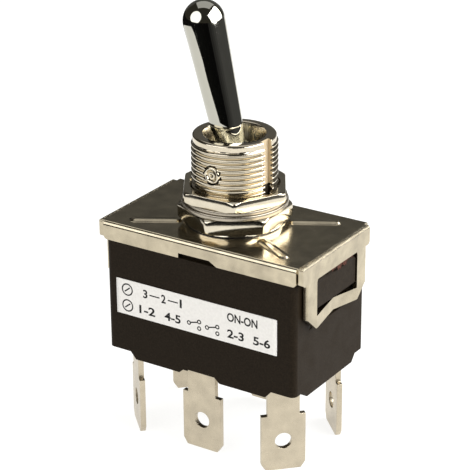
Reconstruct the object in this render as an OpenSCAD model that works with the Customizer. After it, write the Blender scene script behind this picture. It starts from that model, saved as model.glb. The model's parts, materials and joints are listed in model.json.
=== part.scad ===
// Heavy-duty two-pole changeover toggle switch for a 12 mm panel hole.
// Millimetres, +Z up. The origin lies on the bushing axis, in the plane of the
// four corner terminals' tips. +X runs along the case, and the label faces -Y.

/* [Steel top frame] */
// Length of the frame over its end flanges
frame_len = 33.3; // [32.9:0.1:34.5]
// Width of the frame over its long flanges
frame_wid = 19.2; // [19.2:0.1:20]
// Thickness of the steel sheet
sheet = 0.8; // [0.6:0.1:0.9]
// Drop of the flanges below the frame's top face
flange_drop = 2.7; // [2.4:0.1:3]
// Width of the window loop that hangs from each end flange
loop_wid = 15.4; // [14:0.1:15.6]
// Depth of the loop below the frame's top face
loop_drop = 10; // [9.6:0.1:10.4]
// Inward crimp at the middle of the loop's bottom bar
crimp = 1.1; // [0.8:0.1:1.2]

/* [Moulded housing] */
// Length of the housing
housing_len = 31; // [30.6:0.1:31.2]
// Width of the housing
housing_wid = 18.9; // [18.7:0.1:19]
// Depth of the housing's base below the frame's top face
housing_drop = 20.35; // [20:0.05:20.6]
// Radius of the housing's upright corners
housing_corner = 0.9; // [0.4:0.1:1.4]

/* [Threaded bushing] */
// Major diameter of the bushing's thread
bushing_d = 12; // [11.8:0.1:12]
// Diameter of the bore that the lever leaves through
bore_d = 8.1; // [7.9:0.1:8.3]
// Height of the bushing above the frame
bushing_h = 13.2; // [12.5:0.1:14]
// Width of the keyway
keyway_wid = 1.65; // [1.2:0.05:1.8]
// Depth of the keyway
keyway_depth = 0.8; // [0.5:0.05:0.9]
// Direction of the keyway seen from above, in degrees
keyway_angle = -6; // [-10:1:10]

/* [Nuts and washers] */
// Width of both nuts across their flats
nut_flats = 14; // [13.8:0.1:14.3]
// Thickness of the back nut
back_nut_t = 2.15; // [1.8:0.05:2.2]
// Thickness of the front nut
front_nut_t = 1.65; // [1.5:0.05:2.2]
// Outer diameter of the locating washer
locating_d = 14.9; // [14.5:0.1:15.2]
// Outer diameter of the lock washer
lock_d = 14.5; // [14:0.1:14.8]

/* [Lever] */
// Tilt of the lever from upright at each end of its throw, in degrees
lever_tilt = 13.75; // [12:0.25:14]
// Diameter of the bat at its round tip
bat_tip_d = 5.8; // [5.4:0.1:6]
// Diameter of the bat where it meets the neck
bat_base_d = 4.5; // [4.4:0.1:4.9]
// Distance from the pivot to the end of the tip
bat_reach = 23; // [20:0.1:25]
// Height of the pivot above the frame
pivot_h = 8.7; // [8.5:0.1:8.9]

/* [Terminals] */
// Width of a quick-connect tab
tab_wid = 6.3; // [6.2:0.05:6.35]
// Thickness of a tab
tab_t = 0.8; // [0.75:0.05:0.8]
// Width of the neck between tab and housing
neck_wid = 4.6; // [4.2:0.1:4.8]
// Length of a tab from its shoulders to its tip
tab_len = 8.5; // [8:0.1:9]
// Diameter of the solder hole
tab_hole_d = 2.4; // [2:0.1:2.6]
// Distance from the frame's top face down to the corner tips
tip_drop = 32.1; // [31.6:0.1:32.6]

/* [Contacts] */
// Distance of each pole from the middle plane
pole_y = 4.3; // [4.2:0.05:4.4]
// Tilt of a rocker at each end of its throw, in degrees
rocker_tilt = 8; // [7:0.5:8]
// Width of a rocker
rocker_wid = 3.4; // [3:0.1:3.6]

/* [Hidden] */

$fn = 64;
eps = 0.01;

// Colours
nickel = [0.78, 0.74, 0.66];
dark_nickel = [0.55, 0.52, 0.45];
chrome = [0.86, 0.86, 0.85];
phenolic = [0.14, 0.12, 0.11];
fibre_red = [0.45, 0.16, 0.10];
label_white = [0.93, 0.92, 0.90];
nylon = [0.85, 0.84, 0.78];
spring_steel = [0.62, 0.63, 0.65];
copper = [0.78, 0.50, 0.33];
silver = [0.88, 0.88, 0.88];

// Heights of the stack, all measured from the frame's top face
collar_h = 0.75;
back_nut_z = collar_h + 0.02;
locating_z = back_nut_z + back_nut_t + 0.02;
locating_t = 0.7;
lock_z = locating_z + locating_t + 0.02;
lock_t = 0.53;
front_nut_z = lock_z + lock_t + 0.02;
bare_z = front_nut_z + front_nut_t + 0.1;
insulator_t = 0.4;
case_top_z = -sheet - insulator_t;
floor_z = -16.5;
partition_top_z = -11.3;
corner_foot_z = -19.3;

// Frame
front_bend_r = 0.7;
bend_r = 0.3;
long_flange_len = 31.4;
end_flange_front = 9.25;
end_flange_back = 8.6;
loop_setback = 0.12;
window_wid = 10.8;
window_corner = 0.7;
crimp_y = 0.8;
crimp_half = 5.2;
window_top_z = -2.6;
window_bottom_z = -8.2;
flange_corner = 0.55;
rib_h = 0.55;
rib_half = 1.3;
rib_angle = 29.8;
rib_start = 8.2;
rib_end = 13.9;
frame_hole_r = 5.25;

// Bushing
bushing_r = bushing_d / 2;
bore_r = bore_d / 2;
collar_r = 7.2;
stake_r = 6.2;
stake_z = -1.6;
thread_clear = 0.02;
pitch_r = bushing_r - 0.24;
front_nut_angle = 2;
back_nut_angle = 33;

// Lever, measured along its own axis from the pivot
bat_start = 5.1;
neck_r = 2.1;
ball_r = 3.55;
stem_r = 1.25;
stem_end = -17.8;
pin_r = 1.05;
pin_head_r = 1.25;
actuator_top = -12.6;
actuator_bottom = -19.2;
actuator_len = 6;
actuator_wid = 12.6;
plunger_r = 1.25;
plunger_tip = -20.85;
plunger_top = -16.6;
pocket_top = -13.4;
spring_coil_r = 0.95;
spring_wire_r = 0.16;
spring_turns = 5;

// Contacts, with the rocker's fulcrum as their centre
fulcrum_z = -15.2;
fulcrum_r = 0.9;
rocker_end = 11;
rocker_top = 2.95;
rocker_under = 2.25;
contact_x = 9.8;
contact_r = 1.3;
contact_dome_r = 4.1;
contact_face = 1.35;
shank_r = 0.6;

// Terminals
terminal_floor_z = floor_z + tab_t;
corner_tab_x = 12.2;
corner_tab_y = 7;
common_tab_y = 8.55;
common_tip_z = 0.4;
tongue_wid = 2.9;
pad_reach = 5.3;
fixed_contact_t = 0.4;
fixed_contact_reach = 3.39;

// The frame's top face is the height that the switch is measured from
module at_panel() {
    translate([0, 0, tip_drop]) children();
}

// The lever's own axes: origin on the pivot, +Z towards the tip of the bat
module at_lever() {
    at_panel() translate([0, 0, pivot_h]) rotate([0, -lever_tilt, 0]) children();
}

// A pole's fulcrum, with the rocker pressed down on its right-hand side
module at_rocker(side) {
    at_panel() translate([0, side * pole_y, fulcrum_z]) rotate([0, rocker_tilt, 0]) children();
}

// Four corners of a rectangle, as translated copies
module corners(x, y) {
    for (sx = [-1, 1])
        for (sy = [-1, 1])
            translate([sx * x, sy * y]) children();
}

// A rectangle with round corners, made of straight sides and true arcs
module round_rect(length, width, r) {
    square([length - 2 * r, width], center = true);
    square([length, width - 2 * r], center = true);
    corners(length / 2 - r, width / 2 - r) circle(r);
}

// ---------------------------------------------------------------- top frame

// Outline of a flange seen face on: its two lower corners are round
module flange_outline(start, stop) {
    translate([start, -flange_drop + flange_corner]) square([stop - start, flange_drop - flange_corner + 1]);
    translate([start + flange_corner, -flange_drop]) square([stop - start - 2 * flange_corner, flange_drop]);
    for (x = [start + flange_corner, stop - flange_corner])
        translate([x, -flange_drop + flange_corner]) circle(flange_corner);
}

// Section of a channel bent from sheet: outer width w, legs hanging down from
// bends of radius r_left and r_right
module channel_section(w, r_left, r_right) {
    difference() {
        union() {
            translate([-w / 2 + r_left, -flange_drop]) square([w - r_left - r_right, flange_drop]);
            translate([-w / 2, -flange_drop]) square([r_left, flange_drop - r_left]);
            translate([-w / 2 + r_left, -r_left]) circle(r_left);
            translate([w / 2 - r_right, -flange_drop]) square([r_right, flange_drop - r_right]);
            translate([w / 2 - r_right, -r_right]) circle(r_right);
        }
        translate([-w / 2 + sheet, -flange_drop - eps])
            square([w - 2 * sheet, flange_drop - sheet + eps]);
    }
}

// Notch stamped into the front flange: one upright side, one sloping side
module flange_notch() {
    translate([0, -frame_wid / 2 - 1, 0]) rotate([90, 0, 0]) mirror([0, 0, 1]) linear_extrude(2)
        polygon([
            [-3.1, -flange_drop - 1], [-3.1, -flange_drop + 0.7], [1.95, -flange_drop + 0.7],
            [3.15, -flange_drop], [3.15, -flange_drop - 1]
        ]);
}

// Outline of a loop in the plane of the end flange, window left open
module loop_outline() {
    chamfer_y = 2.1;
    chamfer_z = 1.9;
    half = loop_wid / 2;
    difference() {
        polygon([
            [-half, -flange_drop + 0.4], [-half, -loop_drop + chamfer_z], [-half + chamfer_y, -loop_drop],
            [half - chamfer_y, -loop_drop], [half, -loop_drop + chamfer_z], [half, -flange_drop + 0.4]
        ]);
        translate([-window_wid / 2, window_bottom_z])
            square([window_wid, window_top_z - window_corner - window_bottom_z]);
        translate([-window_wid / 2 + window_corner, window_bottom_z])
            square([window_wid - 2 * window_corner, window_top_z - window_bottom_z]);
        for (s = [-1, 1])
            translate([s * (window_wid / 2 - window_corner), window_top_z - window_corner])
                circle(window_corner);
    }
}

// Plan of the loop's sheet: straight at its ends and crimped in near the middle
module crimp_plan() {
    outer = frame_len / 2 - loop_setback;
    inner = outer - sheet;
    polygon([
        [outer, -loop_wid], [outer, -crimp_half], [outer - crimp, crimp_y],
        [outer, crimp_half], [outer, loop_wid], [inner, loop_wid], [inner, crimp_half],
        [inner - crimp, crimp_y], [inner, -crimp_half], [inner, -loop_wid]
    ]);
}

// One loop at the +X end: straight legs, and a bottom bar that follows the crimp
module window_loop() {
    depth = sheet + crimp + loop_setback + 0.5;
    difference() {
        translate([frame_len / 2 - sheet - loop_setback, 0, 0]) rotate([90, 0, 90])
            linear_extrude(sheet) loop_outline();
        translate([0, -window_wid / 2, -loop_drop - 1])
            cube([frame_len, window_wid, window_bottom_z + loop_drop + 1.2]);
    }
    intersection() {
        translate([frame_len / 2 - depth, 0, 0]) rotate([90, 0, 90])
            linear_extrude(depth) loop_outline();
        translate([0, 0, -loop_drop - 1])
            linear_extrude(window_bottom_z + loop_drop + 1) crimp_plan();
        translate([0, -window_wid / 2 - eps, -loop_drop - 1])
            cube([frame_len, window_wid + 2 * eps, window_bottom_z + loop_drop + 1]);
    }
}

// Half section of a rib: a soft wave that ends almost level with the sheet
function rib_wave(lift) =
    [for (i = [0 : 6]) [rib_half * i / 6, rib_h * (1 + cos(30 * i)) / 2 + lift]];

// A stiffening rib, solid from its wave down to the given height
module rib_bead(lift, foot) {
    section = concat(rib_wave(lift), [[rib_half, foot], [0, foot]]);
    rotate([90, 0, 90]) translate([0, 0, rib_start]) linear_extrude(rib_end - rib_start) {
        polygon(section);
        mirror([1, 0]) polygon(section);
    }
    for (d = [rib_start, rib_end])
        translate([d, 0, 0]) rotate_extrude() polygon(section);
}

module ribs(lift, foot) {
    for (a = [rib_angle, 180 - rib_angle, 180 + rib_angle, 360 - rib_angle])
        rotate(a) rib_bead(lift, foot);
}

module top_frame() {
    color(nickel) at_panel() difference() {
        union() {
            intersection() {
                rotate([90, 0, 90]) translate([0, 0, -long_flange_len / 2])
                    linear_extrude(long_flange_len) channel_section(frame_wid, front_bend_r, bend_r);
                rotate([90, 0, 0]) linear_extrude(frame_wid + 2, center = true)
                    flange_outline(-long_flange_len / 2, long_flange_len / 2);
            }
            intersection() {
                rotate([90, 0, 0]) translate([0, 0, -end_flange_back])
                    linear_extrude(end_flange_front + end_flange_back)
                        channel_section(frame_len, bend_r, bend_r);
                rotate([90, 0, 90]) linear_extrude(frame_len + 2, center = true)
                    flange_outline(-end_flange_front, end_flange_back);
            }
            ribs(0.004, -sheet / 2);
            window_loop();
            mirror([1, 0, 0]) window_loop();
        }
        // The sheet is hollow under each rib
        ribs(-sheet, -sheet - 1);
        translate([0, 0, -3]) cylinder(h = 6, r = frame_hole_r);
        flange_notch();
    }
}

// ------------------------------------------------- bushing, nuts and washers

// The slot along the bushing, open at its top and on its outside
module keyway(clear = 0) {
    rotate(keyway_angle) translate([bushing_r - keyway_depth - clear, -keyway_wid / 2 - clear, 0])
        cube([3, keyway_wid + 2 * clear, bushing_h + 1]);
}

// Plain cylinders stand for the thread: its pitch diameter inside the nuts, and
// its crests above them
module bushing() {
    chamfer = 0.45;
    mouth = 0.3;
    color(nickel) at_panel() difference() {
        rotate_extrude() polygon([
            [bore_r, stake_z], [stake_r - 0.3, stake_z], [stake_r, stake_z + 0.3], [stake_r, -sheet - eps],
            [frame_hole_r - 0.02, -sheet - eps], [frame_hole_r - 0.02, eps], [collar_r, eps],
            [collar_r, collar_h - 0.15], [collar_r - 0.15, collar_h], [pitch_r, collar_h],
            [pitch_r, bare_z], [bushing_r, bare_z], [bushing_r, bushing_h - chamfer],
            [bushing_r - chamfer, bushing_h], [bore_r + mouth, bushing_h],
            [bore_r, bushing_h - 2 * mouth]
        ]);
        translate([0, 0, collar_h]) keyway();
        translate([0, 0, pivot_h]) rotate([90, 0, 0]) {
            cylinder(h = bushing_d + 2, r = pin_r + 0.02, center = true);
            for (s = [-1, 1])
                translate([0, 0, s * (bushing_r + 0.4)])
                    cylinder(h = 1.6, r = pin_head_r + 0.18, center = true);
        }
    }
}

// A hexagon nut with its corners turned off at both faces
module hex_nut(t) {
    corner_r = nut_flats / sqrt(3);
    face_r = nut_flats / 2 + 0.25;
    drop = (corner_r - face_r) * tan(30);
    difference() {
        intersection() {
            cylinder(h = t, r = corner_r, $fn = 6);
            rotate_extrude() polygon([
                [0, 0], [face_r, 0], [corner_r + eps, drop], [corner_r + eps, t - drop], [face_r, t], [0, t]
            ]);
        }
        translate([0, 0, -1]) cylinder(h = t + 2, r = pitch_r + thread_clear);
    }
}

module back_nut() {
    color(nickel) at_panel() translate([0, 0, back_nut_z]) rotate(back_nut_angle) hex_nut(back_nut_t);
}

module front_nut() {
    color(nickel) at_panel() translate([0, 0, front_nut_z]) rotate(front_nut_angle) hex_nut(front_nut_t);
}

// Flat washer whose inner tongue sits in the keyway and stops the switch turning
module locating_washer() {
    color(nickel) at_panel() translate([0, 0, locating_z]) {
        difference() {
            cylinder(h = locating_t, r = locating_d / 2);
            translate([0, 0, -1]) cylinder(h = locating_t + 2, r = bushing_r + 0.1);
        }
        rotate(keyway_angle) translate([bushing_r - keyway_depth + 0.15, -keyway_wid / 2 + 0.1, 0])
            cube([1.2, keyway_wid - 0.2, locating_t]);
    }
}

// Washer with a ring of inner teeth that bite on the nut's face
module lock_washer() {
    tooth_count = 10;
    ring_inner = bushing_r + 0.75;
    color(dark_nickel) at_panel() translate([0, 0, lock_z]) difference() {
        cylinder(h = lock_t, r = lock_d / 2);
        translate([0, 0, -1]) cylinder(h = lock_t + 2, r = bushing_r + 0.15);
        for (i = [0 : tooth_count - 1])
            rotate(i * 360 / tooth_count) translate([bushing_r - 0.5, -0.55, -1])
                cube([ring_inner - bushing_r + 0.5, 1.1, lock_t + 2]);
    }
}

// --------------------------------------------------------------------- lever

// Bat handle, neck, pivot ball and lower stem, turned from one bar
module lever() {
    tip_r = bat_tip_d / 2;
    tip_centre = bat_reach - tip_r;
    base_r = bat_base_d / 2;
    // The taper meets the round tip as a tangent
    lean = atan((tip_r - base_r) / (tip_centre - bat_start));
    arc = [for (a = [-lean : 5 : 90]) [tip_r * cos(a), tip_centre + tip_r * sin(a)]];
    neck_meet = sqrt(ball_r * ball_r - neck_r * neck_r);
    stem_meet = sqrt(ball_r * ball_r - stem_r * stem_r);
    edge = 0.12;
    color(chrome) at_lever() difference() {
        union() {
            rotate_extrude() polygon(concat(
                [[0, stem_end], [stem_r - 0.2, stem_end], [stem_r, stem_end + 0.3],
                 [stem_r, -stem_meet + 0.1], [0, -stem_meet + 0.1]]
            ));
            rotate_extrude() polygon(concat(
                [[0, neck_meet - 0.1], [neck_r, neck_meet - 0.1], [neck_r, bat_start],
                 [base_r - edge, bat_start], [base_r, bat_start + edge]],
                arc,
                [[0, bat_reach]]
            ));
            sphere(ball_r);
        }
        rotate([90, 0, 0]) cylinder(h = 10, r = pin_r + 0.03, center = true);
    }
}

// Cross pin: its ends are staked into the bushing wall and show as round heads
module lever_pin() {
    head_face = bushing_r - 0.12;
    dimple_r = 0.55;
    color(nickel) at_panel() translate([0, 0, pivot_h]) rotate([90, 0, 0]) difference() {
        union() {
            cylinder(h = 2 * (bushing_r - 0.35), r = pin_r, center = true);
            for (s = [-1, 1])
                translate([0, 0, s * (head_face + bushing_r - 0.38) / 2])
                    cylinder(h = head_face - bushing_r + 0.38, r = pin_head_r, center = true);
        }
        for (s = [-1, 1])
            translate([0, 0, s * (head_face + 0.35)]) sphere(dimple_r + 0.05);
    }
}

// Insulating block pressed on the lever's stem, with a pocket for each plunger
module actuator() {
    height = actuator_top - actuator_bottom;
    chamfer = 0.8;
    color(nylon) at_lever() difference() {
        rotate([90, 0, 0]) translate([0, 0, -actuator_wid / 2]) linear_extrude(actuator_wid) polygon([
            [-actuator_len / 2, actuator_bottom + chamfer], [-actuator_len / 2 + chamfer, actuator_bottom],
            [actuator_len / 2 - chamfer, actuator_bottom], [actuator_len / 2, actuator_bottom + chamfer],
            [actuator_len / 2, actuator_top - chamfer], [actuator_len / 2 - chamfer, actuator_top],
            [-actuator_len / 2 + chamfer, actuator_top], [-actuator_len / 2, actuator_top - chamfer]
        ]);
        translate([0, 0, stem_end - 0.1]) cylinder(h = height, r = stem_r + 0.02);
        for (s = [-1, 1])
            translate([0, s * pole_y, actuator_bottom - 1])
                cylinder(h = pocket_top - actuator_bottom + 1, r = plunger_r + 0.05);
    }
}

// Sprung plunger with a round nose that rides along the rocker
module plunger(side) {
    nose_z = plunger_tip;
    color(nickel) at_lever() translate([0, side * pole_y, 0]) difference() {
        union() {
            translate([0, 0, nose_z]) sphere(plunger_r);
            translate([0, 0, nose_z]) cylinder(h = plunger_top - nose_z, r = plunger_r);
        }
        translate([0, 0, plunger_top - 1]) cylinder(h = 2, r = 0.6);
    }
}

module plunger_front() { plunger(-1); }
module plunger_back() { plunger(1); }

// Compression spring: a stack of closed rings joined by two upright lands, one on each side
module spring(side) {
    length = pocket_top - plunger_top - 0.04;
    pitch = (length - 2 * spring_wire_r) / spring_turns;
    color(spring_steel) at_lever() translate([0, side * pole_y, plunger_top + 0.02]) {
        for (i = [0 : spring_turns])
            translate([0, 0, spring_wire_r + i * pitch])
                rotate_extrude() translate([spring_coil_r, 0]) circle(spring_wire_r, $fn = 32);
        for (i = [0 : spring_turns - 1])
            rotate(i % 2 * 180) translate([spring_coil_r, 0, spring_wire_r + i * pitch])
                cylinder(h = pitch, r = spring_wire_r * 0.8, $fn = 16);
    }
}

module spring_front() { spring(-1); }
module spring_back() { spring(1); }

// ------------------------------------------------------- insulator and case

// Fibre sheet between the steel frame and the live parts
module insulator() {
    color(fibre_red) at_panel() translate([0, 0, case_top_z + 0.02])
        linear_extrude(insulator_t - 0.04) difference() {
            round_rect(30.7, 17.2, 0.8);
            circle(stake_r + 0.2);
        }
}

// The corner and middle slots of the base, each wide enough for a terminal's neck
module terminal_slots() {
    slot_clear = 0.03;
    for (sx = [-1, 1])
        for (sy = [-1, 1])
            translate([sx * corner_tab_x, sy * corner_tab_y, -housing_drop - 1]) rotate(-sx * sy * 45) {
                translate([-neck_wid / 2 - slot_clear, -tab_t / 2 - slot_clear, 0])
                    cube([neck_wid + 2 * slot_clear, tab_t + 2 * slot_clear, 4]);
                translate([-tongue_wid / 2 - slot_clear, -tab_t / 2 - slot_clear, 0])
                    cube([tongue_wid + 2 * slot_clear, tab_t + 2 * slot_clear, 6]);
            }
    for (s = [-1, 1])
        translate([0, s * common_tab_y, -housing_drop - 1])
            linear_extrude(terminal_floor_z + housing_drop + 1.03)
                square([neck_wid + 2 * slot_clear, tab_t + 2 * slot_clear], center = true);
}

// Trapezoid nick in each long wall's bottom edge, where the middle neck comes out
module neck_nicks() {
    for (s = [0, 180])
        rotate(s) translate([0, -common_tab_y, 0]) rotate([90, 0, 0]) linear_extrude(3)
            polygon([
                [-3.35, -housing_drop - 1], [-3.35, -housing_drop], [-2.5, -housing_drop + 0.75],
                [2.5, -housing_drop + 0.75], [3.35, -housing_drop], [3.35, -housing_drop - 1]
            ]);
}

// Shallow steps under the four corners, where the slanted terminals come out
module corner_steps() {
    step_x = 11.7;
    step_y = 7;
    rise = corner_foot_z + housing_drop;
    for (sx = [0, 1])
        for (sy = [0, 1])
            mirror([sx, 0, 0]) mirror([0, sy, 0]) {
                translate([step_x, step_y, -housing_drop - 1]) cube([6, 6, rise + 1]);
                translate([0, step_y, -housing_drop]) rotate([-90, 0, 0]) linear_extrude(6) polygon([
                    [step_x + eps, -rise], [step_x + eps, 1], [step_x - 0.9, 1], [step_x - 0.9, 0]
                ]);
                translate([step_x, 0, -housing_drop]) rotate([90, 0, 90]) linear_extrude(6) polygon([
                    [step_y + eps, rise], [step_y + eps, -1], [step_y - 0.9, -1], [step_y - 0.9, 0]
                ]);
            }
}

// Lug on an end wall: it snaps into the frame's window
module end_lug() {
    lug_wid = 10.3;
    lug_top = -3.15;
    lug_bottom = -7.45;
    lug_reach = 0.85;
    rotate([90, 0, 0]) translate([0, 0, -lug_wid / 2]) linear_extrude(lug_wid) polygon([
        [housing_len / 2 - 1, lug_bottom], [housing_len / 2 + lug_reach - 0.2, lug_bottom],
        [housing_len / 2 + lug_reach, lug_bottom + 0.2], [housing_len / 2 + lug_reach, lug_top - 0.5],
        [housing_len / 2 + lug_reach - 0.5, lug_top], [housing_len / 2 - 1, lug_top]
    ]);
}

// Hollow under a lug that leaves room for the crimped bar of the loop
module crimp_pocket() {
    pocket_x = frame_len / 2 - loop_setback - sheet - crimp - 0.12;
    pocket_half = 5.8;
    translate([0, 0, -loop_drop - 0.45]) linear_extrude(loop_drop - 7.55 + 0.35) polygon([
        [housing_len / 2 + 1, -pocket_half], [housing_len / 2 - eps, -pocket_half],
        [pocket_x, crimp_y - 1.1], [pocket_x, crimp_y + 1.1],
        [housing_len / 2 - eps, pocket_half], [housing_len / 2 + 1, pocket_half]
    ]);
}

module housing() {
    cavity_len = 27.4;
    cavity_wid = 16.3;
    wall_top_wid = frame_wid - 2 * sheet - 0.2;
    rib_len = 28;
    rib_wid = 3;
    rib_drop = 1.3;
    color(phenolic) at_panel() difference() {
        union() {
            translate([0, 0, -housing_drop]) linear_extrude(housing_drop - flange_drop - 0.1)
                round_rect(housing_len, housing_wid, housing_corner);
            translate([0, 0, -flange_drop - 0.2]) linear_extrude(flange_drop + 0.2 + case_top_z)
                round_rect(housing_len, wall_top_wid, housing_corner);
            end_lug();
            mirror([1, 0, 0]) end_lug();
            translate([0, 0, -housing_drop - rib_drop]) linear_extrude(rib_drop + 1)
                round_rect(rib_len, rib_wid, 0.5);
        }
        // One cavity for each pole, joined above the partition
        translate([0, 0, partition_top_z]) linear_extrude(20) round_rect(cavity_len, cavity_wid, 0.6);
        for (s = [-1, 1])
            translate([0, s * (cavity_wid / 4 + 0.3), floor_z]) linear_extrude(10)
                round_rect(cavity_len, cavity_wid / 2 - 0.6, 0.5);
        corner_steps();
        neck_nicks();
        terminal_slots();
        crimp_pocket();
        mirror([1, 0, 0]) crimp_pocket();
    }
}

// Plain adhesive label on the front face
module front_label() {
    label_len = 26.5;
    label_h = 5.35;
    label_t = 0.1;
    color(label_white) at_panel() translate([-0.5, -housing_wid / 2 - label_t / 2 - eps, -10.85])
        cube([label_len, label_t, label_h], center = true);
}

// ------------------------------------------------------------------ contacts

// Side view of a rocker: two raised arms and a hollow that sits over the fulcrum
module rocker_section() {
    knee = 4.7;
    difference() {
        polygon([
            [-rocker_end, rocker_under], [-knee, rocker_under], [-0.95, 0.35], [0.95, 0.35],
            [knee, rocker_under], [rocker_end, rocker_under], [rocker_end, rocker_top], [knee, rocker_top],
            [1.5, 1.4], [-1.5, 1.4], [-knee, rocker_top], [-rocker_end, rocker_top]
        ]);
        circle(fulcrum_r + 0.05);
    }
}

// Rocker of one pole, pierced at each end for its contact's shank
module rocker(side) {
    color(copper) at_rocker(side) difference() {
        rotate([90, 0, 0]) translate([0, 0, -rocker_wid / 2]) linear_extrude(rocker_wid) rocker_section();
        for (s = [-1, 1])
            translate([s * contact_x, 0, 0]) cylinder(h = 5, r = shank_r + 0.01);
    }
}

module rocker_front() { rocker(-1); }
module rocker_back() { rocker(1); }

// The two silver contacts riveted to a rocker's ends, with domed faces
module rocker_contacts(side) {
    dome_h = contact_dome_r - sqrt(contact_dome_r * contact_dome_r - contact_r * contact_r);
    dome = [for (i = [0 : 4]) let (x = contact_r * i / 4)
        [x, contact_face + contact_dome_r - sqrt(contact_dome_r * contact_dome_r - x * x)]];
    color(silver) at_rocker(side) for (s = [-1, 1])
        translate([s * contact_x, 0, 0]) {
            rotate_extrude()
                polygon(concat(dome, [[contact_r, rocker_under - 0.01], [0, rocker_under - 0.01]]));
            translate([0, 0, contact_face + dome_h])
                cylinder(h = rocker_top - contact_face - dome_h + 0.25, r = shank_r);
            translate([0, 0, rocker_top + 0.01]) cylinder(h = 0.25, r = 0.95);
        }
}

module rocker_contacts_front() { rocker_contacts(-1); }
module rocker_contacts_back() { rocker_contacts(1); }

// ----------------------------------------------------------------- terminals

// Outline of a tab: chamfered tip, square shoulders, narrower neck, solder hole
module tab_outline(neck_top) {
    tip_chamfer_x = 0.65;
    tip_chamfer_z = 1;
    half = tab_wid / 2;
    hole_up = 4.5;
    difference() {
        union() {
            polygon([
                [-half + tip_chamfer_x, 0], [half - tip_chamfer_x, 0], [half, tip_chamfer_z],
                [half, tab_len], [-half, tab_len], [-half, tip_chamfer_z]
            ]);
            translate([-neck_wid / 2, tab_len - 1]) square([neck_wid, neck_top - tab_len + 1]);
        }
        translate([0, hole_up]) circle(tab_hole_d / 2);
    }
}

// Upright blade in the XZ plane, centred on its thickness
module blade(neck_top) {
    rotate([90, 0, 0]) translate([0, 0, -tab_t / 2]) linear_extrude(tab_t) tab_outline(neck_top);
}

// Common terminal: blade, inward foot on the floor of the case, and the fulcrum ridge
module common_terminal(side) {
    foot_wid = 4;
    foot_inner = 2.3;
    ridge_len = 3.7;
    outer_y = common_tab_y + tab_t / 2;
    color(nickel) {
        translate([0, side * common_tab_y, common_tip_z])
            blade(tip_drop + terminal_floor_z - common_tip_z);
        at_panel() {
            translate([-foot_wid / 2, side > 0 ? foot_inner : -outer_y, floor_z + eps])
                cube([foot_wid, outer_y - foot_inner, tab_t - eps]);
            translate([0, side * pole_y, fulcrum_z]) rotate([90, 0, 0])
                cylinder(h = ridge_len, r = fulcrum_r, center = true);
        }
    }
}

module common_terminal_front() { common_terminal(-1); }
module common_terminal_back() { common_terminal(1); }

// Throw terminal: blade turned across the corner, with a tongue bent over the floor as a pad
module throw_terminal(sx, sy) {
    neck_top_z = -17.35;
    color(nickel) mirror([sx < 0 ? 1 : 0, 0, 0]) mirror([0, sy < 0 ? 1 : 0, 0])
        translate([corner_tab_x, corner_tab_y, 0]) rotate(-45) difference() {
            union() {
                blade(tip_drop + neck_top_z);
                translate([-tongue_wid / 2, -tab_t / 2, tip_drop + neck_top_z - 1])
                    cube([tongue_wid, tab_t, terminal_floor_z - neck_top_z + 1]);
                translate([-tongue_wid / 2, -pad_reach, tip_drop + floor_z + eps])
                    cube([tongue_wid, pad_reach + tab_t / 2, tab_t - eps]);
            }
            translate([0, -fixed_contact_reach, tip_drop + floor_z - 1]) cylinder(h = 3, r = shank_r + 0.01);
        }
}

module throw_terminal_front_left() { throw_terminal(-1, -1); }
module throw_terminal_front_right() { throw_terminal(1, -1); }
module throw_terminal_back_left() { throw_terminal(-1, 1); }
module throw_terminal_back_right() { throw_terminal(1, 1); }

// Silver contact riveted to a throw terminal's pad
module fixed_contact(sx, sy) {
    color(silver) mirror([sx < 0 ? 1 : 0, 0, 0]) mirror([0, sy < 0 ? 1 : 0, 0])
        translate([corner_tab_x, corner_tab_y, tip_drop]) rotate(-45)
            translate([0, -fixed_contact_reach, 0]) {
                translate([0, 0, terminal_floor_z + 0.005]) cylinder(h = fixed_contact_t, r = 1.4);
                translate([0, 0, floor_z + 0.02]) cylinder(h = tab_t, r = shank_r);
            }
}

module fixed_contact_front_left() { fixed_contact(-1, -1); }
module fixed_contact_front_right() { fixed_contact(1, -1); }
module fixed_contact_back_left() { fixed_contact(-1, 1); }
module fixed_contact_back_right() { fixed_contact(1, 1); }

top_frame();
bushing();
back_nut();
locating_washer();
lock_washer();
front_nut();
lever();
lever_pin();
actuator();
plunger_front();
plunger_back();
spring_front();
spring_back();
insulator();
housing();
front_label();
rocker_front();
rocker_back();
rocker_contacts_front();
rocker_contacts_back();
common_terminal_front();
common_terminal_back();
throw_terminal_front_left();
throw_terminal_front_right();
throw_terminal_back_left();
throw_terminal_back_right();
fixed_contact_front_left();
fixed_contact_front_right();
fixed_contact_back_left();
fixed_contact_back_right();
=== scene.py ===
# %% [markdown]
# # A panel toggle switch in nickel, chrome and phenolic
#
# The switch is a small assembly of turned, stamped and moulded pieces. The
# imported model already holds every one of them at its real size, so this script
# never moves or resizes anything. It does three things. It rebuilds the pieces
# whose looks depend on fine form, such as the screw thread. It softens the
# edges of the pressed and moulded ones. And it gives each a finish, with print
# on the label and loose fibre at the windows.
#
# The first cell loads the frame and keeps its box.

# %% Load the frame
import json
import math

import bmesh
import bpy
import numpy as np
from mathutils import Matrix, Vector


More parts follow.
